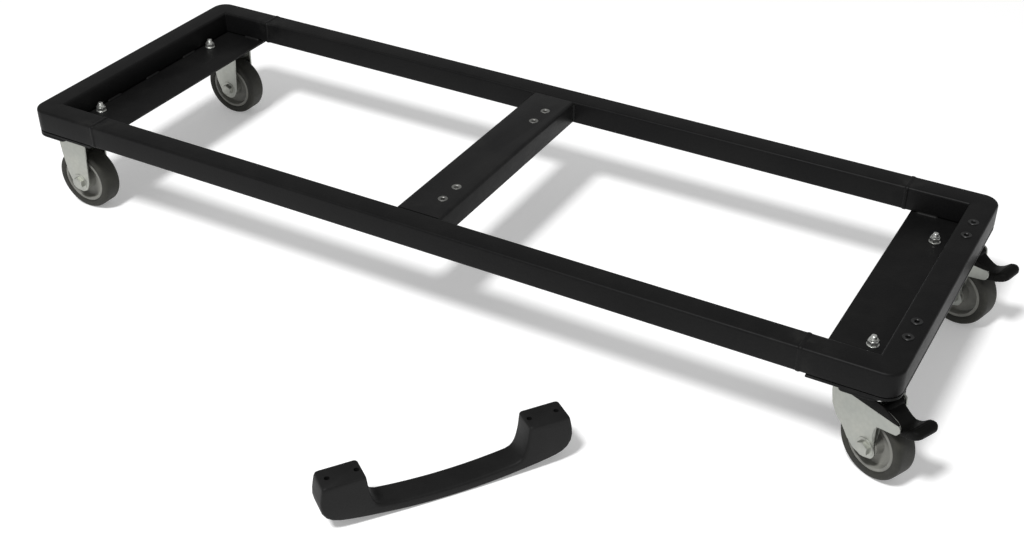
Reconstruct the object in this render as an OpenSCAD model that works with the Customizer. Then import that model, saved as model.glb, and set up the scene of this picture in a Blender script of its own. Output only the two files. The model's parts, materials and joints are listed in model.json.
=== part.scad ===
// Furniture dolly: a welded rectangular tube frame on four swivel casters, with a loose bow pull handle.
// +X is the dolly's length, towards the two casters with brakes. +Z is up.
// The origin is the middle of the deck plane: the top of the rails and of the cross member.

/* [Frame] */
// Overall length of the frame
frame_l = 1050; // [700:10:1400]
// Overall width of the frame
frame_w = 356; // [330:2:600]
// Width of the rail tube, seen from above
tube_w = 28; // [27:1:30]
// Height of the rail tube
tube_h = 28; // [26:1:40]
// Wall of the rail tube
tube_wall = 2; // [1.5:0.5:3]
// Outer radius of the frame's corners, in plan
corner_r = 18; // [8:1:18]
// Length of each U-shaped end frame, from the weld to the end
end_len = 95; // [90:1:120]
// Length of each end plate, along the frame
end_plate_l = 87; // [82:1:110]
// Thickness of the end plates
end_plate_t = 3; // [2:0.5:5]

/* [Cross member] */
// Width of the cross member, along the frame
cross_w = 54; // [40:2:100]
// Depth of the cross member's flanges
cross_h = 26; // [12:1:26]
// Sheet thickness of the cross member
cross_t = 2.5; // [1.5:0.5:4]

/* [Handle] */
// Pitch of the two screws in each handle foot
foot_pitch = 28; // [24:1:32]
// Distance between the middles of the two feet
foot_span = 200; // [160:2:204]
// Width of the grip
grip_w = 28; // [18:1:30]
// Height of the handle
handle_h = 54; // [44:1:60]

/* [Casters] */
// Diameter of the wheel
wheel_d = 75; // [65:1:75]
// Width of the tyre
tyre_w = 24; // [20:1:26]
// Height of a caster from its top plate to the floor
caster_h = 105; // [105:1:112]
// Distance from the swivel axis to the axle
trail = 17; // [15:1:19]
// Distance of the left swivel axes from the frame's left end
left_inset = 23; // [23:1:25]
// Distance of the right swivel axes, with brakes, from the frame's right end
right_inset = 33; // [30:1:33]
// Distance of the swivel axes from the frame's sides
side_inset = 36; // [34:1:40]
// Swivel of the front right caster as drawn, in degrees
front_turn = -25; // [-60:1:60]
// Swivel of the rear right caster as drawn, in degrees
rear_turn = -16; // [-60:1:60]

/* [Hidden] */
$fn = 48;

// Frame places
half_l = frame_l / 2;
half_w = frame_w / 2;
tube_r = 3;
rail_y = half_w - tube_w / 2;
rail_z = -tube_h / 2;
joint_x = half_l - end_len;
plate_x = half_l - end_plate_l;
plate_z = -tube_h - end_plate_t;

// Caster places, from the top plate down
top_plate_t = 3;
top_z = plate_z - top_plate_t;
floor_z = plate_z - caster_h;
axle_z = floor_z + wheel_d / 2;
swivel_y = half_w - side_inset;
ball_r = 2.5;
ball_gap = 0.25;
head_z = top_z - 2 * ball_r - 2 * ball_gap;
head_t = 2.5;
race_r = 15.5;
skirt_r = 20.5;
fork_in = 15;
fork_t = 2.5;
fork_out = fork_in + fork_t;
kingpin_r = 5;
axle_r = 4;
bush_r = 6;
running = 0.05;

// Bolts of the casters, as offsets from the swivel axis, positive towards the frame's outside
bolt_dx = 14;
bolt_in = -39;
bolt_out = 23;
bolt_r = 3;
bolt_hole_r = 3.3;
open_spot = [-bolt_dx, bolt_in];
tube_spots = [[bolt_dx, bolt_in], [-bolt_dx, bolt_out], [bolt_dx, bolt_out]];
bolt_spots = concat([open_spot], tube_spots);
corners = [[-1, -1], [-1, 1], [1, -1], [1, 1]];
function swivel_x(sx) = half_l - (sx < 0 ? left_inset : right_inset);

// Handle screw rows
screw_rows = [foot_span / 2 - foot_pitch / 2, foot_span / 2 + foot_pitch / 2];
rivet_r = 4.2;
rivet_bore = 2.5;
collar_r = 5.6;
collar_t = 0.8;
rivet_x = half_l - tube_w / 2;
cross_rivet_x = 8;

// Brake places, from the swivel axis
pin_x = 26;
pin_z = head_z - head_t - 9;
pin_r = 2.5;

// Where the loose handle lies
handle_x = 166;
handle_y = -370;
handle_turn = 54;

black = [0.12, 0.12, 0.12];
zinc = [0.72, 0.73, 0.70];
dark_zinc = [0.45, 0.45, 0.44];
hub_grey = [0.55, 0.55, 0.53];
tread_dark = [0.16, 0.16, 0.14];

// A rectangle with round corners, from true circles
module round_rect(w, h, r) {
    square([w - 2 * r, h], center = true);
    square([w, h - 2 * r], center = true);
    for (sx = [-1, 1], sy = [-1, 1])
        translate([sx * (w / 2 - r), sy * (h / 2 - r)])
            circle(r);
}

// A straight tube along X between two stations
module bar_x(x0, x1, w, h, r) {
    translate([x0, 0, 0])
        rotate([90, 0, 90])
            linear_extrude(x1 - x0)
                round_rect(w, h, r);
}

module rail(side) {
    translate([0, side * rail_y, rail_z])
        difference() {
            bar_x(-joint_x, joint_x, tube_w, tube_h, tube_r);
            bar_x(-joint_x - 1, joint_x + 1, tube_w - 2 * tube_wall, tube_h - 2 * tube_wall, 1);
        }
}

// The outline of an end, with round outer corners: inset moves its outer edges inwards
module end_outline(x0, inset) {
    r = corner_r - inset;
    round_x = half_l - corner_r;
    round_y = half_w - corner_r;
    translate([x0, -half_w + inset])
        square([round_x - x0, frame_w - 2 * inset]);
    translate([round_x, -round_y])
        square([r, 2 * round_y]);
    for (side = [-1, 1])
        translate([round_x, side * round_y])
            circle(r, $fn = 96);
}

// The U-shaped run of an end frame, as a solid bar of the given section
module end_run(w, h, r, x0, inset) {
    intersection() {
        translate([0, 0, rail_z])
            union() {
                for (side = [-1, 1])
                    translate([0, side * rail_y, 0])
                        bar_x(x0, half_l - inset, w, h, r);
                translate([half_l - tube_w / 2, 0, 0])
                    rotate([0, 0, 90])
                        bar_x(-half_w + inset, half_w - inset, w, h, r);
            }
        translate([0, 0, -tube_h])
            linear_extrude(tube_h)
                end_outline(x0, inset);
    }
}

module end_frame(side) {
    mirror([side < 0 ? 1 : 0, 0, 0])
        difference() {
            end_run(tube_w, tube_h, tube_r, joint_x, 0);
            end_run(tube_w - 2 * tube_wall, tube_h - 2 * tube_wall, 1, joint_x - 1, tube_wall);
            for (sy = [-1, 1], spot = tube_spots)
                translate([swivel_x(side) + spot[0], sy * (swivel_y + spot[1]), -tube_h - 1])
                    cylinder(r = bolt_hole_r, h = tube_wall + 2);
            if (side > 0)
                for (sy = [-1, 1], row = screw_rows)
                    translate([rivet_x, sy * row, -tube_wall - 1])
                        cylinder(r = rivet_r, h = tube_wall + 2);
        }
}

module end_plate(side) {
    mirror([side < 0 ? 1 : 0, 0, 0])
        translate([0, 0, plate_z])
            difference() {
                linear_extrude(end_plate_t)
                    end_outline(plate_x, 0);
                for (sy = [-1, 1], spot = bolt_spots)
                    translate([swivel_x(side) + spot[0], sy * (swivel_y + spot[1]), -1])
                        cylinder(r = bolt_hole_r, h = end_plate_t + 2);
            }
}

module cross_member() {
    inner_l = 2 * (half_w - tube_w);
    color(black)
        difference() {
            translate([-cross_w / 2, -inner_l / 2, -cross_h])
                cube([cross_w, inner_l, cross_h]);
            translate([-cross_w / 2 + cross_t, -inner_l / 2 - 1, -cross_h - 1])
                cube([cross_w - 2 * cross_t, inner_l + 2, cross_h - cross_t + 1]);
            for (sy = [-1, 1], row = screw_rows)
                translate([cross_rivet_x, sy * row, 0]) {
                    translate([0, 0, -cross_t - 1])
                        cylinder(r = rivet_r, h = cross_t + 2);
                    translate([0, 0, -collar_t])
                        cylinder(r = collar_r, h = 1);
                }
        }
}

// A raised bead around each butt joint of the rails
module rail_joint_welds() {
    bead_w = 5;
    bead_h = 0.7;
    color(black)
        for (sx = [-1, 1], sy = [-1, 1])
            translate([sx * joint_x, sy * rail_y, rail_z])
                difference() {
                    bar_x(-bead_w / 2, bead_w / 2, tube_w + 2 * bead_h, tube_h + 2 * bead_h, tube_r + bead_h);
                    bar_x(-bead_w, bead_w, tube_w, tube_h, tube_r);
                }
}

// A fillet bead with its corner at the origin, along Y
module bead(length, leg) {
    translate([0, length / 2, 0])
        rotate([90, 0, 0])
            linear_extrude(length)
                polygon([[0, 0], [leg, 0], [0, leg]]);
}

// Stitch beads between the end plates and the tubes that stand on them
module end_plate_welds() {
    stitch = 24;
    leg = 3;
    color(black)
        for (sx = [-1, 1])
            mirror([sx < 0 ? 1 : 0, 0, 0]) {
                for (y = [-70, 0, 70])
                    translate([half_l - tube_w, y, -tube_h])
                        mirror([1, 0, 0])
                            bead(stitch, leg);
                for (sy = [-1, 1])
                    mirror([0, sy < 0 ? 1 : 0, 0])
                        translate([plate_x + 18, half_w - tube_w, -tube_h])
                            rotate([0, 0, -90])
                                bead(stitch, leg);
            }
}

// Upright beads where the cross member's flanges meet the rails
module cross_member_welds() {
    leg = 3;
    color(black)
        for (sx = [-1, 1], sy = [-1, 1])
            mirror([sx < 0 ? 1 : 0, 0, 0])
                mirror([0, sy < 0 ? 1 : 0, 0])
                    translate([cross_w / 2, half_w - tube_w, -cross_h])
                        mirror([0, 1, 0])
                            linear_extrude(cross_h - 2)
                                polygon([[0, 0], [leg, 0], [0, leg]]);
}

// A threaded insert: a thin collar and a barrel below it
module rivet_nut() {
    difference() {
        union() {
            cylinder(r = collar_r, h = collar_t);
            translate([0, 0, -9])
                cylinder(r = rivet_r, h = 9.2);
        }
        translate([0, 0, -10])
            cylinder(r = rivet_bore, h = 12);
    }
}

module handle_rivet_nuts() {
    color(black)
        for (sy = [-1, 1], row = screw_rows)
            translate([rivet_x, sy * row, 0])
                rivet_nut();
}

module cross_rivet_nuts() {
    color(dark_zinc)
        for (sy = [-1, 1], row = screw_rows)
            translate([cross_rivet_x, sy * row, -collar_t])
                rivet_nut();
}

// Places a child at each given bolt spot of all four casters
module at_bolts(spots) {
    for (c = corners, spot = spots)
        translate([c[0] * (swivel_x(c[0]) + spot[0]), c[1] * (swivel_y + spot[1]), 0])
            children();
}

module caster_bolts() {
    head_h = 4;
    color(zinc) {
        at_bolts(bolt_spots)
            translate([0, 0, top_z - head_h])
                cylinder(r = 5.77, h = head_h, $fn = 6);
        at_bolts(bolt_spots)
            translate([0, 0, top_z - 0.5])
                cylinder(r = bolt_r, h = top_plate_t + end_plate_t + 11.5);
    }
}

module caster_weld_nuts() {
    color(dark_zinc)
        at_bolts(tube_spots)
            translate([0, 0, -tube_h + tube_wall])
                difference() {
                    cylinder(r = 5.77, h = 5, $fn = 6);
                    translate([0, 0, -1])
                        cylinder(r = bolt_r, h = 7);
                }
}

module caster_lock_nuts() {
    color(zinc)
        at_bolts([open_spot])
            translate([0, 0, -tube_h + 1.2])
                difference() {
                    union() {
                        cylinder(r = 5.77, h = 4.6, $fn = 6);
                        translate([0, 0, 4.6])
                            cylinder(r = 4.6, h = 1.6);
                    }
                    translate([0, 0, -1])
                        cylinder(r = bolt_r, h = 9);
                }
}

module caster_nut_washers() {
    color(zinc)
        at_bolts([open_spot])
            translate([0, 0, -tube_h])
                difference() {
                    cylinder(r = 6.2, h = 1.2);
                    translate([0, 0, -1])
                        cylinder(r = bolt_hole_r, h = 4);
                }
}

// Puts a caster's children on its swivel axis, at the corner named by the two signs
module at_caster(sx, sy) {
    translate([sx * swivel_x(sx), sy * swivel_y, 0])
        children();
}

// The same for what swivels: +X is then the way the fork trails
module at_swivel(sx, sy) {
    turn = sx < 0 ? 0 : (sy < 0 ? front_turn : rear_turn);
    at_caster(sx, sy)
        rotate([0, 0, turn])
            children();
}

// The caster's top plate, drawn for the rear right corner: its outer corner follows the frame's
module top_plate_outline() {
    reach_x = 23;
    in_y = -44;
    out_y = side_inset;
    small_r = 5;
    translate([-reach_x, in_y + small_r])
        square([2 * reach_x, out_y - corner_r - in_y - small_r]);
    translate([-reach_x + small_r, in_y])
        square([2 * reach_x - small_r - corner_r, out_y - in_y]);
    translate([-reach_x + small_r, in_y])
        square([2 * reach_x - 2 * small_r, small_r + 1]);
    translate([-reach_x, out_y - corner_r - 1])
        square([small_r + 1, corner_r + 1 - small_r]);
    for (spot = [[-reach_x + small_r, in_y + small_r], [reach_x - small_r, in_y + small_r],
            [-reach_x + small_r, out_y - small_r]])
        translate(spot)
            circle(small_r);
    translate([reach_x - corner_r, out_y - corner_r])
        circle(corner_r, $fn = 96);
}

// Top plate with its pressed race skirt
module top_plate(sx, sy) {
    color(black)
        at_caster(sx, sy)
            mirror([sx < 0 ? 1 : 0, 0, 0])
                mirror([0, sy < 0 ? 1 : 0, 0]) {
                    translate([0, 0, top_z])
                        difference() {
                            linear_extrude(top_plate_t)
                                top_plate_outline();
                            for (spot = bolt_spots)
                                translate([spot[0], spot[1], -1])
                                    cylinder(r = bolt_hole_r, h = top_plate_t + 2);
                        }
                    translate([0, 0, top_z - 4.8])
                        difference() {
                            cylinder(r = skirt_r, h = 4.9);
                            translate([0, 0, -1])
                                cylinder(r = skirt_r - 1.5, h = 7);
                        }
                }
}

module kingpin(sx, sy) {
    pin_l = top_z - head_z + head_t;
    color(dark_zinc)
        at_caster(sx, sy) {
            translate([0, 0, top_z - pin_l - 0.3])
                cylinder(r = kingpin_r, h = pin_l + 0.3);
            translate([0, 0, head_z - head_t - 0.3])
                mirror([0, 0, 1])
                    cylinder(r1 = 9, r2 = 7, h = 3, $fn = 48);
        }
}

module ball_ring(sx, sy) {
    balls = 16;
    color(zinc)
        at_swivel(sx, sy)
            for (i = [0 : balls - 1])
                rotate([0, 0, i * 360 / balls])
                    translate([race_r, 0, top_z - ball_gap - ball_r])
                        sphere(r = ball_r, $fn = 24);
}

// One leg of the fork, in its own plane: x along the trail from the swivel axis, y upwards
plain_leg = [[-6, head_z], [34, head_z], [33, axle_z + 28], [31, axle_z], [27, axle_z - 9],
    [trail + 3, axle_z - 13], [trail - 4, axle_z - 12], [6, axle_z - 5], [0, axle_z + 10],
    [-4, axle_z + 34]];
// The wide leg of a braked fork, below its front edge
wide_leg = [[26, axle_z + 30], [23.5, axle_z + 19], [26, axle_z + 6], [trail + 12, axle_z - 3],
    [trail + 9, axle_z - 9], [trail - 1, axle_z - 12.5], [4, axle_z - 10.5], [-5.5, axle_z - 3.5],
    [-13, axle_z + 6], [-22, axle_z + 12.5], [-28.5, axle_z + 24], [-31, axle_z + 38],
    [-31, head_z], [22, head_z], [22, head_z - 3]];
// The arm in front of one wide leg, beside the pedal
arm = [[33, head_z - 5], [47, head_z - 9], [52, head_z - 14], [52, head_z - 19],
    [49, head_z - 24], [40, head_z - 26]];
function leg(side, braked) = !braked ? plain_leg
    : concat(wide_leg, side < 0 ? arm : [[29.5, head_z - 8], [31, head_z - 16]]);

module fork(sx, sy, braked) {
    crown_x = braked ? -31 : -6;
    crown_l = braked ? 53 : 40;
    color(zinc)
        at_swivel(sx, sy)
            difference() {
                union() {
                    translate([0, 0, head_z - head_t])
                        cylinder(r = fork_out, h = head_t, $fn = 64);
                    translate([crown_x, -fork_out, head_z - head_t])
                        cube([crown_l, 2 * fork_out, head_t]);
                    for (side = [-1, 1])
                        translate([0, side < 0 ? -fork_in : fork_out, 0])
                            rotate([90, 0, 0])
                                linear_extrude(fork_t)
                                    polygon(leg(side, braked));
                }
                translate([0, 0, head_z - head_t - 1])
                    cylinder(r = kingpin_r + running, h = head_t + 2);
                translate([trail, 30, axle_z])
                    rotate([90, 0, 0])
                        cylinder(r = axle_r + 0.1, h = 60);
                if (braked)
                    translate([pin_x, 30, pin_z])
                        rotate([90, 0, 0])
                            cylinder(r = pin_r, h = 60);
            }
}

// A rod along Y, from y0 to y1
module rod_y(r, y0, y1) {
    translate([0, y1, 0])
        rotate([90, 0, 0])
            cylinder(r = r, h = y1 - y0);
}

module at_axle(sx, sy) {
    at_swivel(sx, sy)
        translate([trail, 0, axle_z])
            children();
}

module axle_bolt(sx, sy) {
    head_h = 5.3;
    color(zinc)
        at_axle(sx, sy) {
            rod_y(axle_r, -fork_out - 0.5, fork_out + 8.6);
            translate([0, -fork_out, 0])
                rotate([90, 0, 0])
                    cylinder(r = 7.5, h = head_h, $fn = 6);
        }
}

module axle_nut(sx, sy) {
    color(zinc)
        at_axle(sx, sy)
            difference() {
                union() {
                    translate([0, fork_out + 5.4, 0])
                        rotate([90, 0, 0])
                            cylinder(r = 7.5, h = 5.4, $fn = 6);
                    rod_y(5.8, fork_out + 5, fork_out + 7.6);
                }
                rod_y(axle_r, fork_out - 1, fork_out + 9);
            }
}

module axle_bush(sx, sy) {
    color(dark_zinc)
        at_axle(sx, sy)
            difference() {
                rod_y(bush_r, -fork_in, fork_in);
                rod_y(axle_r + running, -fork_in - 1, fork_in + 1);
            }
}

// A ring turned about the wheel's axle, along Y
module turned_y() {
    rotate([90, 0, 0])
        rotate_extrude($fn = 96)
            children();
}

rim_r = wheel_d / 2 - 9;

module wheel_core(sx, sy) {
    hub_w = 2 * fork_in - 1.2;
    color(hub_grey)
        at_axle(sx, sy)
            turned_y() {
                difference() {
                    union() {
                        translate([bush_r + 0.06, -hub_w / 2])
                            square([5.4, hub_w]);
                        translate([bush_r + 0.06, -4])
                            square([rim_r - bush_r - 0.06, 8]);
                        translate([rim_r - 4, -tyre_w / 2 + 1])
                            square([4, tyre_w - 2]);
                    }
                    for (s = [-1, 1])
                        translate([bush_r + 10, s * 6])
                            circle(2.6, $fn = 24);
                }
            }
}

module tyre(sx, sy) {
    shoulder = 4;
    tread_r = wheel_d / 2;
    color(tread_dark)
        at_axle(sx, sy)
            turned_y() {
                translate([rim_r, -tyre_w / 2])
                    square([tread_r - rim_r - shoulder, tyre_w]);
                translate([rim_r, -tyre_w / 2 + shoulder])
                    square([tread_r - rim_r, tyre_w - 2 * shoulder]);
                for (s = [-1, 1])
                    translate([tread_r - shoulder, s * (tyre_w / 2 - shoulder)])
                        circle(shoulder);
            }
}

// The pedal's side outline, as offsets from its pin: a lever over the tyre and a rising paddle
pedal_side = [[-4, 3.5], [3, 1.5], [11, -4], [20, -7.5], [28, -4.5], [34, 0.5], [40, 2], [44.5, 0],
    [45.5, -4], [42, -8], [34, -11.5], [26, -15], [19, -15.5], [12, -10], [4, -5.5], [-4, -3.5]];

module brake_pedal(sx, sy) {
    inner_w = 2 * fork_in - 4;
    blade_w = 31;
    blade_x = 30;
    color(black)
        at_swivel(sx, sy)
            translate([pin_x, 0, pin_z])
                difference() {
                    union() {
                        translate([0, inner_w / 2, 0])
                            rotate([90, 0, 0])
                                linear_extrude(inner_w)
                                    polygon(pedal_side);
                        intersection() {
                            translate([0, blade_w / 2, 0])
                                rotate([90, 0, 0])
                                    linear_extrude(blade_w)
                                        polygon(pedal_side);
                            translate([blade_x, -blade_w / 2, -20])
                                cube([20, blade_w, 30]);
                        }
                        rod_y(4.6, -inner_w / 2, inner_w / 2);
                    }
                    rod_y(pin_r + running, -30, 30);
                }
}

module brake_pin(sx, sy) {
    color(zinc)
        at_swivel(sx, sy)
            translate([pin_x, 0, pin_z])
                rod_y(pin_r, -fork_out, fork_out);
}

// The cover outside the braked fork's crown: a long cheek beside the arm, a short one, and a front
module brake_hood(sx, sy) {
    hood_t = 2;
    top = head_z - 0.2;
    low = head_z - 11;
    long_cheek = [[-18, top], [28, top], [50, head_z - 8], [52, head_z - 10.5], [46, low], [-18, low]];
    short_cheek = [[-18, top], [24.5, top], [24.5, low], [-18, low]];
    color(black)
        at_swivel(sx, sy) {
            translate([0, -fork_out, 0])
                rotate([90, 0, 0])
                    linear_extrude(hood_t)
                        polygon(long_cheek);
            translate([0, fork_out + hood_t, 0])
                rotate([90, 0, 0])
                    linear_extrude(hood_t)
                        polygon(short_cheek);
            translate([22.2, -fork_out - 0.1, head_z - 2.8])
                cube([2.3, 2 * fork_out + 0.2, 2.6]);
        }
}

// The bow handle's side outline: it lies on its back, with both feet upwards
function arc_points(r, mid_z, from, to, steps) =
    [for (i = [0 : steps]) let (a = from + (to - from) * i / steps) [r * sin(a), mid_z - r * cos(a)]];

grip_t = 11;
foot_out = foot_span / 2 + foot_pitch / 2 + 8.5;
foot_in = foot_span / 2 - foot_pitch / 2 - 5;
bow_r = 530;
bow_end = foot_out - 10.5;
bow_a = asin(bow_end / bow_r);
bow_rise = bow_r - bow_r * cos(bow_a);
grip_end = foot_in - 12;
grip_a = asin(grip_end / (bow_r - grip_t));
handle_side = concat(
    arc_points(bow_r, bow_r, -bow_a, bow_a, 24),
    [[foot_out - 2.5, bow_rise + 4], [foot_out + 2.5, bow_rise + 11.5], [foot_out + 3.5, bow_rise + 21],
        [foot_out, handle_h], [foot_in, handle_h], [foot_in - 3, 28], [foot_in - 7, 20.5]],
    arc_points(bow_r - grip_t, bow_r, grip_a, -grip_a, 16),
    [[7 - foot_in, 20.5], [3 - foot_in, 28], [-foot_in, handle_h], [-foot_out, handle_h],
        [-foot_out - 3.5, bow_rise + 21], [-foot_out - 2.5, bow_rise + 11.5],
        [2.5 - foot_out, bow_rise + 4]]);

module pull_handle() {
    color(black)
        translate([handle_x, handle_y, floor_z])
            rotate([0, 0, handle_turn])
                difference() {
                    translate([0, grip_w / 2, 0])
                        rotate([90, 0, 0])
                            linear_extrude(grip_w)
                                polygon(handle_side);
                    for (side = [-1, 1], row = screw_rows)
                        translate([side * row, 0, handle_h - 20])
                            cylinder(r = 2.5, h = 21);
                }
}

color(black) rail(-1);  // front_rail
color(black) rail(1);  // rear_rail
color(black) end_frame(-1);  // left_end_frame
color(black) end_frame(1);  // right_end_frame
color(black) end_plate(-1);  // left_end_plate
color(black) end_plate(1);  // right_end_plate
cross_member();
rail_joint_welds();
end_plate_welds();
cross_member_welds();
handle_rivet_nuts();
cross_rivet_nuts();
caster_bolts();
caster_weld_nuts();
caster_lock_nuts();
caster_nut_washers();
top_plate(-1, -1);  // front_left_top_plate
kingpin(-1, -1);  // front_left_kingpin
ball_ring(-1, -1);  // front_left_ball_ring
fork(-1, -1, false);  // front_left_fork
axle_bolt(-1, -1);  // front_left_axle_bolt
axle_nut(-1, -1);  // front_left_axle_nut
axle_bush(-1, -1);  // front_left_axle_bush
wheel_core(-1, -1);  // front_left_wheel_core
tyre(-1, -1);  // front_left_tyre
top_plate(-1, 1);  // rear_left_top_plate
kingpin(-1, 1);  // rear_left_kingpin
ball_ring(-1, 1);  // rear_left_ball_ring
fork(-1, 1, false);  // rear_left_fork
axle_bolt(-1, 1);  // rear_left_axle_bolt
axle_nut(-1, 1);  // rear_left_axle_nut
axle_bush(-1, 1);  // rear_left_axle_bush
wheel_core(-1, 1);  // rear_left_wheel_core
tyre(-1, 1);  // rear_left_tyre
top_plate(1, -1);  // front_right_top_plate
kingpin(1, -1);  // front_right_kingpin
ball_ring(1, -1);  // front_right_ball_ring
fork(1, -1, true);  // front_right_fork
axle_bolt(1, -1);  // front_right_axle_bolt
axle_nut(1, -1);  // front_right_axle_nut
axle_bush(1, -1);  // front_right_axle_bush
wheel_core(1, -1);  // front_right_wheel_core
tyre(1, -1);  // front_right_tyre
brake_pedal(1, -1);  // front_right_brake_pedal
brake_pin(1, -1);  // front_right_brake_pin
brake_hood(1, -1);  // front_right_brake_hood
top_plate(1, 1);  // rear_right_top_plate
kingpin(1, 1);  // rear_right_kingpin
ball_ring(1, 1);  // rear_right_ball_ring
fork(1, 1, true);  // rear_right_fork
axle_bolt(1, 1);  // rear_right_axle_bolt
axle_nut(1, 1);  // rear_right_axle_nut
axle_bush(1, 1);  // rear_right_axle_bush
wheel_core(1, 1);  // rear_right_wheel_core
tyre(1, 1);  // rear_right_tyre
brake_pedal(1, 1);  // rear_right_brake_pedal
brake_pin(1, 1);  // rear_right_brake_pin
brake_hood(1, 1);  // rear_right_brake_hood
pull_handle();
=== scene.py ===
"""Furniture dolly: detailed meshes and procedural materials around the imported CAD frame."""

import json
import math
import random

import bmesh
import bpy
from mathutils import Matrix, Vector


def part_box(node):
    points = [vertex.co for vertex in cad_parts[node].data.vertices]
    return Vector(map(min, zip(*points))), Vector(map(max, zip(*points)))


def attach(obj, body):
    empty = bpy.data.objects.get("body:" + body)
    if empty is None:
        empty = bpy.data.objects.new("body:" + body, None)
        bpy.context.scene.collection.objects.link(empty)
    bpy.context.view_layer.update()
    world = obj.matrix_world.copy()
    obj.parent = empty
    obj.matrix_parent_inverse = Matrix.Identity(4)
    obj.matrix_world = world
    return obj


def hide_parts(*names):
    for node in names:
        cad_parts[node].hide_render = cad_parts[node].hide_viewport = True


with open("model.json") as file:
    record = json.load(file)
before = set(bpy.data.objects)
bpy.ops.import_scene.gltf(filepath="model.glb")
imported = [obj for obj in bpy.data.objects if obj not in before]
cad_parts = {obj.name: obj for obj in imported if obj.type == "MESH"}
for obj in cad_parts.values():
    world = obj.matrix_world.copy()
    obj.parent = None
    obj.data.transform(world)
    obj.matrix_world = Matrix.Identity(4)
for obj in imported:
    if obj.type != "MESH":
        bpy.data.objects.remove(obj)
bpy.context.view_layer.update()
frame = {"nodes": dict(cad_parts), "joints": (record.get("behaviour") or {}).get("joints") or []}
random.seed(11)

MM = 0.001
CORNERS = ["front_left", "rear_left", "front_right", "rear_right"]
JOINTS = {j["name"]: j for j in frame["joints"]}


def joint_place(name):
    return Vector(JOINTS[name]["pos_m"])


# ---------------------------------------------------------------- places, from the frame
rail_lo, rail_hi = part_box("front_rail")
plate_lo, plate_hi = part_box("right_end_plate")
end_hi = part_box("right_end_frame")[1]
cross_lo, cross_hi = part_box("cross_member")
handle_lo, handle_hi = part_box("pull_handle")
HALF_W = -rail_lo.y
HALF_L = end_hi.x
TUBE_W = rail_hi.y - rail_lo.y
TUBE_H = rail_hi.z - rail_lo.z
JOINT_X = rail_hi.x
PLATE_IN_X = plate_lo.x
PLATE_Z0 = plate_lo.z
PLATE_Z1 = plate_hi.z
FLOOR_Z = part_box("front_left_tyre")[0].z
CORNER_R = 18 * MM
TUBE_R = 3 * MM
HOLE_ROWS = [86 * MM, 114 * MM]
INSERT_R = 4.2 * MM
COLLAR_R = 5.65 * MM
COLLAR_T = 0.8 * MM
INSERT_HOLE_DEPTH = 9.4 * MM
DRILL_START = 1 * MM
STRIP_HOLE_X = HALF_L - TUBE_W / 2
CROSS_HOLE_X = 8 * MM


# ---------------------------------------------------------------- camera
CAMERA_LENS = 51.12
CAMERA_PLACE = (0.72487, -1.22823, 0.79850)
CAMERA_TURN = (55.998385, 0.085704, 29.528871)


def camera():
    data = bpy.data.cameras.new("camera")
    data.sensor_width = 36
    data.lens = CAMERA_LENS
    data.clip_start = 0.05
    data.clip_end = 30
    cam = bpy.data.objects.new("camera", data)
    cam.location = CAMERA_PLACE
    cam.rotation_euler = [math.radians(a) for a in CAMERA_TURN]
    bpy.context.scene.collection.objects.link(cam)
    bpy.context.scene.camera = cam


camera()


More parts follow.
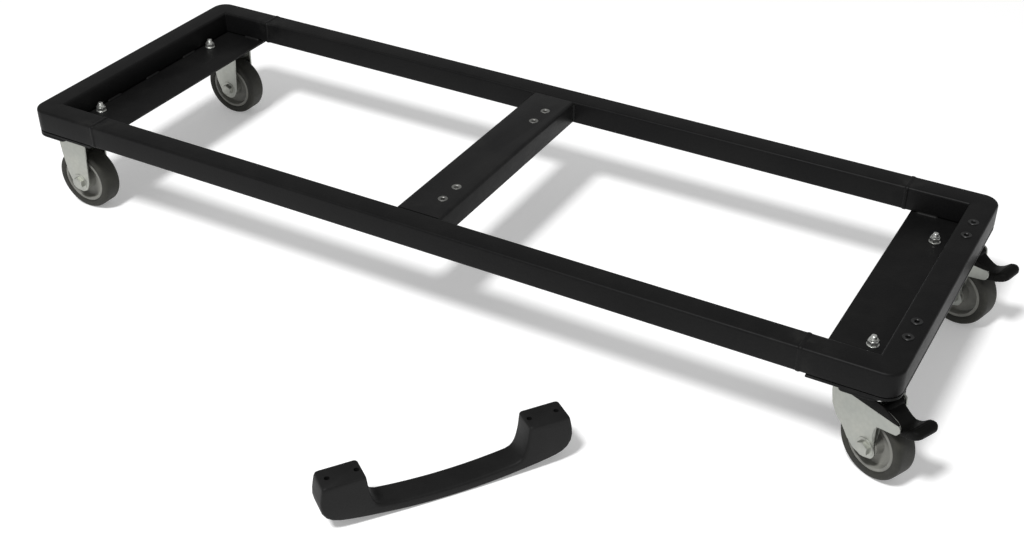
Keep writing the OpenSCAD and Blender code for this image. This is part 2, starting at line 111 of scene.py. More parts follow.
# ---------------------------------------------------------------- materials
class Nodes:
    """A small wrapper that adds and links shader nodes."""

    def __init__(self, name):
        self.mat = bpy.data.materials.new(name)
        self.mat.use_nodes = True
        self.tree = self.mat.node_tree
        self.shader = self.tree.nodes["Principled BSDF"]
        self.coords = self.tree.nodes.new("ShaderNodeTexCoord").outputs["Object"]

    def add(self, kind, **settings):
        node = self.tree.nodes.new(kind)
        for key, value in settings.items():
            setattr(node, key, value)
        return node

    def link(self, a, b):
        self.tree.links.new(a, b)

    def mapped(self, scale=(1, 1, 1), turn=(0, 0, 0)):
        node = self.add("ShaderNodeMapping")
        node.inputs["Scale"].default_value = scale
        node.inputs["Rotation"].default_value = turn
        self.link(self.coords, node.inputs["Vector"])
        return node.outputs["Vector"]

    def noise(self, scale, detail=4.0, rough=0.55, at=None, distortion=0.0):
        node = self.add("ShaderNodeTexNoise")
        node.inputs["Scale"].default_value = scale
        node.inputs["Detail"].default_value = detail
        node.inputs["Roughness"].default_value = rough
        node.inputs["Distortion"].default_value = distortion
        self.link(at or self.coords, node.inputs["Vector"])
        return node.outputs["Fac"]

    def cells(self, scale):
        node = self.add("ShaderNodeTexVoronoi", feature="F1")
        node.inputs["Scale"].default_value = scale
        self.link(self.coords, node.inputs["Vector"])
        return node.outputs["Distance"]

    def spread(self, value, low, high, out_low=0.0, out_high=1.0):
        node = self.add("ShaderNodeMapRange")
        limits = {"From Min": low, "From Max": high, "To Min": out_low, "To Max": out_high}
        for key, number in limits.items():
            node.inputs[key].default_value = number
        self.link(value, node.inputs["Value"])
        return node.outputs["Result"]

    def times(self, a, b):
        node = self.add("ShaderNodeMath", operation="MULTIPLY")
        for i, value in enumerate((a, b)):
            if isinstance(value, float):
                node.inputs[i].default_value = value
            else:
                self.link(value, node.inputs[i])
        return node.outputs[0]

    def plus(self, a, b):
        node = self.add("ShaderNodeMath", operation="ADD")
        self.link(a, node.inputs[0])
        self.link(b, node.inputs[1])
        return node.outputs[0]

    def mix(self, fac, a, b):
        node = self.add("ShaderNodeMix", data_type="RGBA")
        self.link(fac, node.inputs["Factor"])
        for key, value in (("A", a), ("B", b)):
            socket = [s for s in node.inputs if s.name == key and s.type == "RGBA"][0]
            if isinstance(value, tuple):
                socket.default_value = value + (1.0,)
            else:
                self.link(value, socket)
        return [s for s in node.outputs if s.type == "RGBA"][0]

    def edges(self, low, high):
        """How sharp the mesh is here, from 0 where it is flat to 1 on its edges."""
        geometry = self.add("ShaderNodeNewGeometry")
        return self.spread(geometry.outputs["Pointiness"], low, high)

    def upward(self):
        """1 on faces that look up, 0 on upright ones."""
        geometry = self.add("ShaderNodeNewGeometry")
        split = self.add("ShaderNodeSeparateXYZ")
        self.link(geometry.outputs["Normal"], split.inputs[0])
        return self.spread(split.outputs["Z"], 0.5, 1.0)

    def bump(self, height, distance, strength=1.0, under=None):
        node = self.add("ShaderNodeBump")
        node.inputs["Distance"].default_value = distance
        node.inputs["Strength"].default_value = strength
        self.link(height, node.inputs["Height"])
        if under is not None:
            self.link(under, node.inputs["Normal"])
        return node.outputs["Normal"]

    def finish(self, color, rough, normal=None, **values):
        self.link(color, self.shader.inputs["Base Color"])
        self.link(rough, self.shader.inputs["Roughness"])
        if normal is not None:
            self.link(normal, self.shader.inputs["Normal"])
        for key, value in values.items():
            self.shader.inputs[key.replace("_", " ")].default_value = value
        return self.mat


COAT_DARK = (0.0042, 0.0042, 0.0044)
COAT_LIGHT = (0.0062, 0.0062, 0.0062)
COAT_SPECK = (0.010, 0.010, 0.010)
COAT_RUBBED = (0.032, 0.032, 0.030)
COAT_DUST = (0.036, 0.035, 0.033)


def powder_coat(name="powder_coat", tone=1.0):
    """Satin black powder coat: orange peel, slight colour drift, rubbed edges and a little dust on top."""
    n = Nodes(name)
    drift = n.spread(n.noise(9.0, 3.0), 0.35, 0.65)
    fine = n.spread(n.noise(420.0, 2.0), 0.3, 0.7)
    dark, light, speck = (tuple(c * tone for c in shade) for shade in (COAT_DARK, COAT_LIGHT, COAT_SPECK))
    base = n.mix(drift, dark, light)
    grainy = n.mix(n.times(fine, 0.35), base, speck)
    scuffs = n.times(n.edges(0.53, 0.62), n.spread(n.noise(60.0, 5.0), 0.45, 0.7))
    rubbed = n.mix(n.times(scuffs, 0.5), grainy, COAT_RUBBED)
    dust = n.times(n.upward(), n.spread(n.noise(26.0, 6.0, 0.65), 0.45, 0.85))
    color = n.mix(n.times(dust, 0.16), rubbed, COAT_DUST)
    rough = n.spread(n.plus(n.times(drift, 0.5), n.times(fine, 0.5)), 0.0, 1.0, 0.40, 0.52)
    peel = n.bump(n.noise(520.0, 2.0, 0.4), 0.00035, 0.35)
    normal = n.bump(n.noise(70.0, 2.0, 0.4), 0.0006, 0.12, peel)
    return n.finish(color, rough, normal, Specular_IOR_Level=0.10)


def zinc(name, light, dark, rough=(0.34, 0.52), stretch=(1, 1, 1), metallic=0.92):
    """Zinc plate: drifting tint, fine rolling grain, small cells and scratches."""
    n = Nodes(name)
    drift = n.spread(n.noise(24.0, 3.0), 0.35, 0.68)
    cells = n.spread(n.cells(230.0), 0.0, 0.9)
    grain = n.noise(300.0, 5.0, 0.6, n.mapped(stretch))
    base = n.mix(drift, dark, light)
    spangled = n.mix(n.times(cells, 0.30), base, tuple(c * 0.78 for c in dark))
    lines = n.noise(120.0, 8.0, 0.7, n.mapped((1, 1, 9), (0.2, 0.5, 0.1)))
    scratches = n.spread(lines, 0.60, 0.72)
    color = n.mix(n.times(scratches, 0.35), spangled, tuple(min(1.0, c * 1.25) for c in light))
    roughness = n.spread(n.plus(n.times(drift, 0.6), n.times(grain, 0.4)), 0.2, 0.8, *rough)
    normal = n.bump(grain, 0.00012, 0.35)
    return n.finish(color, roughness, normal, Metallic=metallic)


def rubber(name="tread_rubber"):
    """Dull dark grey tyre rubber, dusty on the tread, with a fine moulded grain."""
    n = Nodes(name)
    drift = n.spread(n.noise(45.0, 4.0), 0.35, 0.7)
    base = n.mix(drift, (0.016, 0.016, 0.013), (0.030, 0.030, 0.024))
    dust = n.spread(n.noise(160.0, 7.0, 0.7), 0.5, 0.8)
    color = n.mix(n.times(dust, 0.28), base, (0.072, 0.069, 0.059))
    rough = n.spread(drift, 0.0, 1.0, 0.62, 0.80)
    grain = n.bump(n.noise(900.0, 3.0, 0.5), 0.0002, 0.5)
    normal = n.bump(n.noise(130.0, 3.0), 0.0004, 0.2, grain)
    return n.finish(color, rough, normal, Specular_IOR_Level=0.35)


def moulded(name, light, dark, rough, grain_scale=850.0, depth=0.00018, dust=0.15, shine=0.4):
    """Moulded plastic: fine spark-eroded grain, slight flow marks and dust."""
    n = Nodes(name)
    drift = n.spread(n.noise(30.0, 3.0, distortion=0.6), 0.35, 0.65)
    base = n.mix(drift, dark, light)
    specks = n.spread(n.noise(380.0, 5.0, 0.65), 0.55, 0.75)
    color = n.mix(n.times(specks, dust), base, tuple(min(1.0, c * 2.2 + 0.01) for c in light))
    roughness = n.spread(drift, 0.0, 1.0, *rough)
    grain = n.bump(n.cells(grain_scale), depth, 0.45)
    normal = n.bump(n.noise(90.0, 3.0), 0.0004, 0.12, grain)
    return n.finish(color, roughness, normal, Specular_IOR_Level=shine)


COAT = powder_coat()
# The cross member uses the frame's black powder coat painted 1.9 times lighter. This is a painted highlight
# on it, not a different paint.
CROSS_COAT_PAINTED_HIGHLIGHT = powder_coat("coated_cross_member_painted_highlight", 1.9)
WELD = powder_coat("coated_weld", 1.15)
ZINC = zinc("bright_zinc", (0.455, 0.46, 0.42), (0.36, 0.372, 0.345), stretch=(1, 1, 6))
ZINC_NUT = zinc("nut_zinc", (0.86, 0.87, 0.84), (0.70, 0.71, 0.68), rough=(0.22, 0.36))
DULL_ZINC = zinc("dull_zinc", (0.34, 0.34, 0.325), (0.22, 0.22, 0.21), rough=(0.45, 0.6))
BLACK_PLATE = powder_coat("black_plate", 0.8)
BLACK_INSERT = moulded("black_oxide_insert", (0.014, 0.014, 0.014), (0.008, 0.008, 0.008), (0.35, 0.5))
RUBBER = rubber()
WHEEL_GREY = moulded("wheel_grey", (0.215, 0.215, 0.193), (0.160, 0.160, 0.145), (0.45, 0.6),
                     grain_scale=600.0, depth=0.00015, dust=0.10)
PEDAL_BLACK = moulded("pedal_black", (0.0040, 0.0040, 0.0037), (0.0024, 0.0024, 0.0022), (0.45, 0.6),
                      grain_scale=700.0, depth=0.00022, dust=0.03, shine=0.08)
HANDLE_BLACK = moulded("handle_black", (0.0095, 0.0095, 0.0095), (0.0070, 0.0070, 0.0070), (0.48, 0.60),
                       grain_scale=800.0, depth=0.00022, dust=0.10, shine=0.16)


# ---------------------------------------------------------------- mesh tools
TINY = 1e-5
SHARP = 38.0


def piece(name, bm, material, body, nodes, slot, sharp=SHARP):
    """Turns a bmesh into a finished piece that rides on a body and stands for the given CAD nodes."""
    bmesh.ops.remove_doubles(bm, verts=bm.verts, dist=2e-7)
    bmesh.ops.dissolve_degenerate(bm, edges=bm.edges, dist=1e-7)
    bmesh.ops.recalc_face_normals(bm, faces=bm.faces)
    mesh = bpy.data.meshes.new(name)
    bm.to_mesh(mesh)
    bm.free()
    mesh.shade_smooth()
    mesh.set_sharp_from_angle(angle=math.radians(sharp))
    mesh.materials.append(material)
    obj = bpy.data.objects.new(name, mesh)
    bpy.context.scene.collection.objects.link(obj)
    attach(obj, body)
    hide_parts(*nodes)
    return obj


def loft(bm, rings, loop=False):
    """Joins closed rings of points with quads, and caps the ends or, with loop, joins last to first."""
    made = [[bm.verts.new(p) for p in ring] for ring in rings]
    pairs = list(zip(made, made[1:])) + ([(made[-1], made[0])] if loop else [])
    for a, b in pairs:
        for i in range(len(a)):
            j = (i + 1) % len(a)
            bm.faces.new((a[i], a[j], b[j], b[i]))
    if not loop:
        caps = [bm.faces.new(made[0][::-1]), bm.faces.new(made[-1])]
        bmesh.ops.triangulate(bm, faces=caps, ngon_method="EAR_CLIP")


def area(points):
    """A polygon's area, positive when it runs counter-clockwise."""
    return sum(p[0] * q[1] - q[0] * p[1] for p, q in zip(points, points[1:] + points[:1])) / 2


def rounded(points, radius, steps=4):
    """A polygon, counter-clockwise, with its corners rounded as far as its edges allow."""
    points = list(points) if area(list(points)) > 0 else list(reversed(points))
    out = []
    for i, p in enumerate(points):
        a, b, c = Vector(points[i - 1]), Vector(p), Vector(points[(i + 1) % len(points)])
        u, v = (a - b), (c - b)
        half = u.angle(v) / 2
        cut = min(radius / math.tan(half), u.length * 0.45, v.length * 0.45)
        if half > math.radians(87):
            out.append(tuple(b))
            continue
        start, end = b + u.normalized() * cut, b + v.normalized() * cut
        for k in range(steps + 1):
            t = k / steps
            q = start * (1 - t) ** 2 + b * 2 * t * (1 - t) + end * t ** 2
            out.append(tuple(q))
    return out


def inset(points, d):
    """A counter-clockwise polygon moved inwards by d, with mitred corners."""
    out = []
    for i, p in enumerate(points):
        a, b, c = Vector(points[i - 1]), Vector(p), Vector(points[(i + 1) % len(points)])
        e1, e2 = (b - a).normalized(), (c - b).normalized()
        n1, n2 = Vector((-e1.y, e1.x)), Vector((-e2.y, e2.x))
        m = (n1 + n2) / max(0.6, 1 + n1.dot(n2))
        out.append(tuple(b + m * d))
    return out


def prism(bm, outline, w0, w1, soft, place, steps=3):
    """An outline extruded from w0 to w1, its two rims rounded by soft. place maps (u, v, w) to a point."""
    turns = [math.pi / 2 * k / steps for k in range(steps + 1)]
    levels = [(w0 + soft * (1 - math.sin(a)), soft * (1 - math.cos(a))) for a in reversed(turns)]
    levels += [(w1 - soft * (1 - math.sin(a)), soft * (1 - math.cos(a))) for a in turns]
    rings = []
    for w, d in levels:
        ring = inset(outline, d) if d > 1e-9 else outline
        rings.append([place(u, v, w) for u, v in ring])
    loft(bm, rings)


def turned(bm, rings, centre, axis="y", segments=64, loop=True):
    """Turns a closed run of (radius, height) rings about an axis. Either may be a function of the angle."""
    centre = Vector(centre)
    made = []
    for r, h in rings:
        ring = []
        for k in range(segments):
            a = 2 * math.pi * k / segments
            radius = r(a) if callable(r) else r
            height = h(a) if callable(h) else h
            u, v = radius * math.cos(a), radius * math.sin(a)
            ring.append(centre + (Vector((u, height, v)) if axis == "y" else Vector((u, v, height))))
        made.append(ring)
    loft(bm, made, loop=loop)


def arc(cx, cy, r, a0, a1, steps):
    """Points along an arc, from a0 to a1 degrees."""
    return [(cx + r * math.cos(math.radians(a0 + (a1 - a0) * k / steps)),
             cy + r * math.sin(math.radians(a0 + (a1 - a0) * k / steps))) for k in range(steps + 1)]


def hex_radius(across):
    """The radius of a hexagon of the given width across its flats, as a function of the angle."""
    def radius(a):
        return across / 2 / math.cos((a + math.pi / 6) % (math.pi / 3) - math.pi / 6)
    return radius


def hexagon(bm, centre, axis, across, h0, h1, bore=0.0, both=True, segments=72):
    """A hexagon nut or head with its corners chamfered by a 30 degree cone, from height h0 to h1."""
    side = hex_radius(across)
    face = across / 2 * 0.965
    up = 1 if h1 > h0 else -1
    slope = math.tan(math.radians(30))

    def drop(a):
        return (side(a) - face) * slope

    inner = max(bore, TINY)
    rings = [(inner, h0)]
    if both:
        rings += [(face, h0), (side, lambda a: h0 + up * drop(a))]
    else:
        rings += [(side, h0)]
    rings += [(side, lambda a: h1 - up * drop(a)), (face, h1), (inner, h1)]
    turned(bm, rings, centre, axis, segments)


def rod(bm, centre, axis, r, h0, h1, soft=0.0004, segments=40):
    """A solid round bar with rounded rims."""
    s = soft if h1 > h0 else -soft
    rings = [(TINY, h0), (r - soft, h0), (r - soft * 0.3, h0 + s * 0.3), (r, h0 + s),
             (r, h1 - s), (r - soft * 0.3, h1 - s * 0.3), (r - soft, h1), (TINY, h1)]
    turned(bm, rings, centre, axis, segments)


def ring_body(bm, centre, axis, r0, r1, h0, h1, soft=0.0003, segments=64):
    """A flat ring or tube with rounded rims."""
    outline = rounded([(r0, h0), (r1, h0), (r1, h1), (r0, h1)], soft, 3)
    turned(bm, outline, centre, axis, segments)


def thread(bm, centre, axis, r, h0, h1, pitch, depth, segments=36):
    """A threaded stub: its radius follows a helix, and its end is chamfered."""
    steps_per_turn, fade_steps, chamfer = 8, 5, 0.6 * MM
    rings = []
    count = max(6, int(abs(h1 - h0) / pitch * steps_per_turn))
    for k in range(count + 1):
        h = h0 + (h1 - h0) * k / count
        fade = min(1.0, (count - k) / fade_steps)

        def radius(a, h=h, fade=fade):
            phase = ((h / pitch) - a / (2 * math.pi)) % 1.0
            return (r - depth * abs(2 * phase - 1)) - (1 - fade) * chamfer
        rings.append((radius, h))
    rings = [(TINY, h0)] + rings + [(TINY, h1)]
    turned(bm, rings, centre, axis, segments)


def bead(bm, path, ups, half_w, height, pitch=0.0022, ends=True, around=10):
    """A weld bead along a path: an oval run with overlapping ripples. ups point out of the metal."""
    count = len(path)
    rings = []
    run = 0.0
    for i, p in enumerate(path):
        before, after = path[i - 1], path[(i + 1) % count]
        if ends and i == 0:
            before = p
        if ends and i == count - 1:
            after = p
        tangent = (after - before).normalized()
        up = ups[i].normalized()
        side = tangent.cross(up).normalized()
        if i:
            run += (p - path[i - 1]).length
        ripple = 1.0 - 0.16 * ((run / pitch) % 1.0) + random.uniform(-0.03, 0.03)
        taper = 1.0
        if ends:
            edge = min(i, count - 1 - i) / 4.0
            taper = min(1.0, 0.35 + 0.65 * edge)
        wide, tall = half_w * taper * (0.94 + 0.06 * ripple), height * taper * ripple
        rings.append([p + side * (wide * math.cos(2 * math.pi * k / around))
                      + up * (tall * math.sin(2 * math.pi * k / around)) for k in range(around)])
    loft(bm, rings, loop=not ends)


def drill(obj, holes):
    """Cuts round holes: each is (centre, axis, radius, h0, h1)."""
    bm = bmesh.new()
    for centre, axis, r, h0, h1 in holes:
        turned(bm, [(TINY, h0), (r, h0), (r, h1), (TINY, h1)], centre, axis, 40)
    bmesh.ops.remove_doubles(bm, verts=bm.verts, dist=2 * TINY)
    bmesh.ops.recalc_face_normals(bm, faces=bm.faces)
    mesh = bpy.data.meshes.new("cutter")
    bm.to_mesh(mesh)
    bm.free()
    cutter = bpy.data.objects.new("cutter", mesh)
    bpy.context.scene.collection.objects.link(cutter)
    cut = obj.modifiers.new("cut", "BOOLEAN")
    cut.operation = "DIFFERENCE"
    cut.solver = "EXACT"
    cut.object = cutter
    bpy.context.view_layer.update()
    evaluated = obj.evaluated_get(bpy.context.evaluated_depsgraph_get())
    result = bpy.data.meshes.new_from_object(evaluated)
    obj.modifiers.clear()
    old = obj.data
    obj.data = result
    bpy.data.meshes.remove(old)
    bpy.data.objects.remove(cutter)
    result.set_sharp_from_angle(angle=math.radians(SHARP))


# ---------------------------------------------------------------- tube frame
def tube_section(steps=5):
    """The tube's outline as (depth from the outer face, height below the top), counter-clockwise."""
    r = TUBE_R
    w, h = TUBE_W, TUBE_H
    return (arc(r, -h + r, r, 180, 270, steps) + arc(w - r, -h + r, r, 270, 360, steps)
            + arc(w - r, -r, r, 0, 90, steps) + arc(r, -r, r, 90, 180, steps))


def rails():
    """The two straight tubes, each a loft of the tube's outline along X."""
    for name, sy in (("front_rail", -1), ("rear_rail", 1)):
        bm = bmesh.new()
        stations = [-JOINT_X + 2 * JOINT_X * k / 24 for k in range(25)]
        loft(bm, [[Vector((x, sy * (HALF_W - d), z)) for d, z in tube_section()] for x in stations])
        piece("tube_" + name, bm, COAT, "frame", [name], "black_powder_coat")


def end_tube_path(sx, d):
    """One fibre of the U-shaped end, at depth d from the outer face."""
    r = max(CORNER_R - d, 0.9 * MM)
    cx, cy = HALF_L - d - r, HALF_W - d - r
    path = [(JOINT_X, -HALF_W + d), (JOINT_X + 30 * MM, -HALF_W + d)]
    path += arc(cx, -cy, r, -90, 0, 14)
    path += [(HALF_L - d, y) for y in (-0.09, -0.045, 0.0, 0.045, 0.09)]
    path += arc(cx, cy, r, 0, 90, 14)
    path += [(JOINT_X + 30 * MM, HALF_W - d), (JOINT_X, HALF_W - d)]
    return [(sx * x, y) for x, y in path]


def end_tubes():
    """The two U-shaped tubes, with the insert holes in the right one."""
    for name, sx in (("left_end_frame", -1), ("right_end_frame", 1)):
        bm = bmesh.new()
        fibres = [[Vector((x, y, z)) for x, y in end_tube_path(sx, d)] for d, z in tube_section()]
        loft(bm, [list(ring) for ring in zip(*fibres)])
        obj = piece("tube_" + name, bm, COAT, "frame", [name], "black_powder_coat")
        if sx > 0:
            drill(obj, [((STRIP_HOLE_X, s * row, 0), "z", INSERT_R, -INSERT_HOLE_DEPTH, DRILL_START)
                        for s in (-1, 1) for row in HOLE_ROWS])


def end_outline(inset_by):
    """An end plate's outline, square at its inner edge and rounded at the frame's corners."""
    r = CORNER_R - inset_by
    cx, cy = HALF_L - CORNER_R, HALF_W - CORNER_R
    return ([(PLATE_IN_X, -HALF_W + inset_by)] + arc(cx, -cy, r, -90, 0, 14)
            + arc(cx, cy, r, 0, 90, 14) + [(PLATE_IN_X, HALF_W - inset_by)])


def end_plates():
    for name, sx in (("left_end_plate", -1), ("right_end_plate", 1)):
        bm = bmesh.new()
        prism(bm, end_outline(0.15 * MM), PLATE_Z0, PLATE_Z1, 0.5 * MM,
              lambda u, v, w, sx=sx: Vector((sx * u, v, w)))
        piece("sheet_" + name, bm, COAT, "frame", [name], "black_powder_coat")


def cross_member():
    """A channel folded from sheet, open below, with the insert holes and their collars' seats."""
    bm = bmesh.new()
    half, depth, t, r = cross_hi.x, -cross_lo.z, 2.5 * MM, 4.0 * MM
    inner = (arc(half - r, -r, r - t, 0, 90, 5) + arc(-half + r, -r, r - t, 90, 180, 5))
    outer = (arc(-half + r, -r, r, 180, 90, 6) + arc(half - r, -r, r, 90, 0, 6))
    outline = ([(half - t, -depth)] + inner + [(-half + t, -depth), (-half, -depth)] + outer
               + [(half, -depth)])
    outline = outline if area(outline) > 0 else outline[::-1]
    prism(bm, outline, cross_lo.y, cross_hi.y, 0.3 * MM, lambda u, v, w: Vector((u, w, v)), 2)
    obj = piece("folded_cross_member", bm, CROSS_COAT_PAINTED_HIGHLIGHT, "frame", ["cross_member"], "black_powder_coat")
    for r, low in ((INSERT_R, -5 * MM), (COLLAR_R, -COLLAR_T - 0.03 * MM)):
        drill(obj, [((CROSS_HOLE_X, s * row, 0), "z", r, low, DRILL_START)
                    for s in (-1, 1) for row in HOLE_ROWS])


def perimeter(points, step):
    """Evenly spaced points and outward normals along a closed outline."""
    out = []
    for a, b in zip(points, points[1:] + points[:1]):
        a, b = Vector(a), Vector(b)
        edge = b - a
        if edge.length < 1e-7:
            continue
        n = max(1, round(edge.length / step))
        normal = Vector((edge.y, -edge.x)).normalized()
        out += [(a + edge * (k / n), normal) for k in range(n)]
    return out


def straight(a, b, step=0.55 * MM):
    """Evenly spaced points from a to b."""
    a, b = Vector(a), Vector(b)
    n = max(6, int((b - a).length / step))
    return [a + (b - a) * (k / n) for k in range(n + 1)]


FILLET_W, FILLET_H = 2.2 * MM, 1.5 * MM
SEAM_W, SEAM_H = 2.3 * MM, 0.72 * MM
FILLET_OFF = 0.6 * MM
SIGNS = [(sx, sy) for sx in (-1, 1) for sy in (-1, 1)]


def fillet(bm, start, end, up):
    """A straight fillet weld from start to end, in the corner that up points out of."""
    path = straight(start, end)
    bead(bm, path, [Vector(up)] * len(path), FILLET_W, FILLET_H)


def rail_joint_beads():
    bm = bmesh.new()
    for sx, sy in SIGNS:
        run = perimeter(tube_section(), 0.6 * MM)
        path = []
        for q, _ in run:
            wander = random.uniform(-0.15, 0.15) * MM
            path.append(Vector((sx * JOINT_X + wander, sy * (HALF_W - q.x), q.y)))
        ups = [Vector((0, -sy * n.x, n.y)) for _, n in run]
        bead(bm, path, ups, SEAM_W, SEAM_H, ends=False)
    piece("rail_joint_beads", bm, WELD, "frame", ["rail_joint_welds"], "black_powder_coat", 50)


def end_plate_beads():
    bm = bmesh.new()
    z = PLATE_Z1 + FILLET_OFF
    for sx in (-1, 1):
        x = sx * (HALF_L - TUBE_W - FILLET_OFF)
        for y in (-70 * MM, 0.0, 70 * MM):
            fillet(bm, (x, y - 12 * MM, z), (x, y + 12 * MM, z), (-sx, 0, 1))
        for sy in (-1, 1):
            y = sy * (HALF_W - TUBE_W - FILLET_OFF)
            x0 = PLATE_IN_X + 6 * MM
            fillet(bm, (sx * x0, y, z), (sx * (x0 + 24 * MM), y, z), (0, -sy, 1))
    piece("end_plate_beads", bm, WELD, "frame", ["end_plate_welds"], "black_powder_coat", 50)


def cross_member_beads():
    bm = bmesh.new()
    for sx, sy in SIGNS:
        x, y = sx * (cross_hi.x + FILLET_OFF), sy * (HALF_W - TUBE_W - FILLET_OFF)
        fillet(bm, (x, y, cross_lo.z + 1 * MM), (x, y, -3 * MM), (sx, -sy, 0))
    piece("cross_member_beads", bm, WELD, "frame", ["cross_member_welds"], "black_powder_coat", 50)


def inserts():
    for name, node, x, base, material, slot in (
            ("strip_inserts", "handle_rivet_nuts", STRIP_HOLE_X, 0.0, BLACK_INSERT, "black_oxide"),
            ("cross_inserts", "cross_rivet_nuts", CROSS_HOLE_X, -COLLAR_T, DULL_ZINC, "dull_zinc")):
        bm = bmesh.new()
        for s in (-1, 1):
            for row in HOLE_ROWS:
                outline = [(2.5, -9.0), (4.15, -9.0), (4.15, -0.1), (5.0, -0.1), (5.55, 0.15), (5.6, 0.45),
                           (5.25, 0.8), (3.3, 0.8), (2.9, 0.55), (2.5, 0.1)]
                for turn in range(1, 9):
                    outline.append((2.5 + (0.18 if turn % 2 else 0.0), 0.1 - turn))
                turned(bm, [(r * MM, h * MM) for r, h in outline], (x, s * row, base), "z", 40)
        piece(name, bm, material, "frame", [node], slot)


# ---------------------------------------------------------------- caster hardware on the frame
def caster_signs(corner):
    return (1 if "right" in corner else -1), (1 if "rear" in corner else -1)


def swivel_axis(corner):
    p = joint_place(corner + "_swivel_turn")
    return p.x, p.y, p.z


BOLT_SPOTS = [(-14, -39), (14, -39), (-14, 23), (14, 23)]
BOLT_TOP_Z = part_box("caster_bolts")[1].z
TOP_PLATE_T = 3 * MM
TOP_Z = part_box("front_left_top_plate")[1].z - TOP_PLATE_T
M6_ACROSS = 10 * MM
M6_R = 3 * MM
M6_BORE = 2.95 * MM
WASHER_T = 1.2 * MM


def bolt_places(open_only=False, tube_only=False):
    """The caster bolts: the first of each four comes out beside the tube, the others under it."""
    for corner in CORNERS:
        sx, sy = caster_signs(corner)
        x, y, _ = swivel_axis(corner)
        for i, (dx, dy) in enumerate(BOLT_SPOTS):
            if (open_only and i) or (tube_only and not i):
                continue
            yield Vector((x + sx * dx * MM, y + sy * dy * MM, 0))


def caster_bolts():
    bm = bmesh.new()
    for p in bolt_places():
        hexagon(bm, p, "z", M6_ACROSS, TOP_Z, TOP_Z - 4 * MM, both=False)
        thread(bm, p, "z", M6_R, TOP_Z - 0.5 * MM, BOLT_TOP_Z, 1.0 * MM, 0.35 * MM)
    piece("caster_hex_bolts", bm, ZINC_NUT, "frame", ["caster_bolts"], "bright_zinc")


def weld_nuts():
    bm = bmesh.new()
    for p in bolt_places(tube_only=True):
        hexagon(bm, p, "z", M6_ACROSS, PLATE_Z1 + 2 * MM, PLATE_Z1 + 7 * MM, bore=M6_BORE)
    piece("tube_weld_nuts", bm, DULL_ZINC, "frame", ["caster_weld_nuts"], "dull_zinc")


def lock_nuts():
    bm = bmesh.new()
    for p in bolt_places(open_only=True):
        base = PLATE_Z1 + WASHER_T
        hexagon(bm, p, "z", M6_ACROSS, base, base + 4.6 * MM, bore=M6_BORE)
        collar = [(2.95, 4.4), (4.6, 4.4), (4.6, 5.4), (4.35, 6.0), (3.9, 6.2), (3.3, 6.0), (2.95, 5.6)]
        turned(bm, [(r * MM, base + h * MM) for r, h in collar], p, "z", 40)
    piece("lock_nuts", bm, ZINC_NUT, "frame", ["caster_lock_nuts"], "bright_zinc")


def washers():
    bm = bmesh.new()
    for p in bolt_places(open_only=True):
        ring_body(bm, p, "z", 3.3 * MM, 6.2 * MM, PLATE_Z1, PLATE_Z1 + WASHER_T, 0.35 * MM)
    piece("nut_washers", bm, ZINC_NUT, "frame", ["caster_nut_washers"], "bright_zinc")


# ---------------------------------------------------------------- casters
FORK_IN = 15 * MM
FORK_T = 2.5 * MM
FORK_OUT = FORK_IN + FORK_T
M8_ACROSS = 13 * MM
M8_R = 4 * MM
M8_BORE = 3.95 * MM


def top_plate(corner):
    """The caster's plate, rounded like the frame at its outer corner, with its pressed race below."""
    sx, sy = caster_signs(corner)
    ax, ay, _ = swivel_axis(corner)
    reach, in_y, out_y = 23 * MM, -44 * MM, 36 * MM
    small, big = 5 * MM, CORNER_R
    outline = (arc(-reach + small, in_y + small, small, 180, 270, 6)
               + arc(reach - small, in_y + small, small, 270, 360, 6)
               + arc(reach - big, out_y - big, big, 0, 90, 12)
               + arc(-reach + small, out_y - small, small, 90, 180, 6))
    bm = bmesh.new()
    prism(bm, outline, TOP_Z, TOP_Z + TOP_PLATE_T, 0.6 * MM,
          lambda u, v, w: Vector((ax + sx * u, ay + sy * v, w)))
    skirt = [(17.7, 0.2), (22.1, 0.2), (21.1, -0.5), (20.55, -1.6), (20.5, -4.2), (20.1, -4.75),
             (19.3, -4.75), (19.0, -4.2), (19.0, -2.2), (18.6, -1.2), (17.7, -0.6)]
    turned(bm, [(r * MM, TOP_Z + h * MM) for r, h in skirt], (ax, ay, 0), "z", 72)
    piece(corner + "_pressed_top_plate", bm, BLACK_PLATE, "frame", [corner + "_top_plate"], "black_oxide")


def kingpin(corner):
    """The riveted pin, from the top plate down to its hollow head under the fork's crown."""
    ax, ay, head = swivel_axis(corner)
    lo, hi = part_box(corner + "_kingpin")
    bm = bmesh.new()
    under = head - FORK_T
    outline = [(TINY, hi.z), (5 * MM, hi.z), (5 * MM, under - 0.2 * MM), (9 * MM, under - 0.3 * MM),
               (8.9 * MM, under - 1.2 * MM), (8.2 * MM, under - 2.2 * MM), (6.8 * MM, under - 3.0 * MM),
               (5.2 * MM, lo.z), (2.6 * MM, lo.z), (1.8 * MM, lo.z + 0.8 * MM), (TINY, lo.z + 1.0 * MM)]
    turned(bm, outline, (ax, ay, 0), "z", 48)
    piece(corner + "_rivet_head", bm, DULL_ZINC, "frame", [corner + "_kingpin"], "dull_zinc")


class Swivel:
    """A caster's own frame: u runs from the swivel axis the way the fork trails, v across it, z up."""

    def __init__(self, corner):
        self.corner = corner
        self.body = corner + "_swivel"
        axis, wheel = joint_place(corner + "_swivel_turn"), joint_place(corner + "_wheel_spin")
        self.head = axis.z
        self.axle = wheel.z
        self.trail = (wheel - axis).to_2d().length
        self.centre = (self.trail, 0.0, self.axle)
        self.turn = math.atan2(wheel.y - axis.y, wheel.x - axis.x)
        self.matrix = Matrix.Translation((axis.x, axis.y, 0)) @ Matrix.Rotation(self.turn, 4, "Z")

    def piece(self, name, bm, material, body, node, slot, sharp=SHARP):
        bm.transform(self.matrix)
        return piece(self.corner + name, bm, material, body, [self.corner + node], slot, sharp)


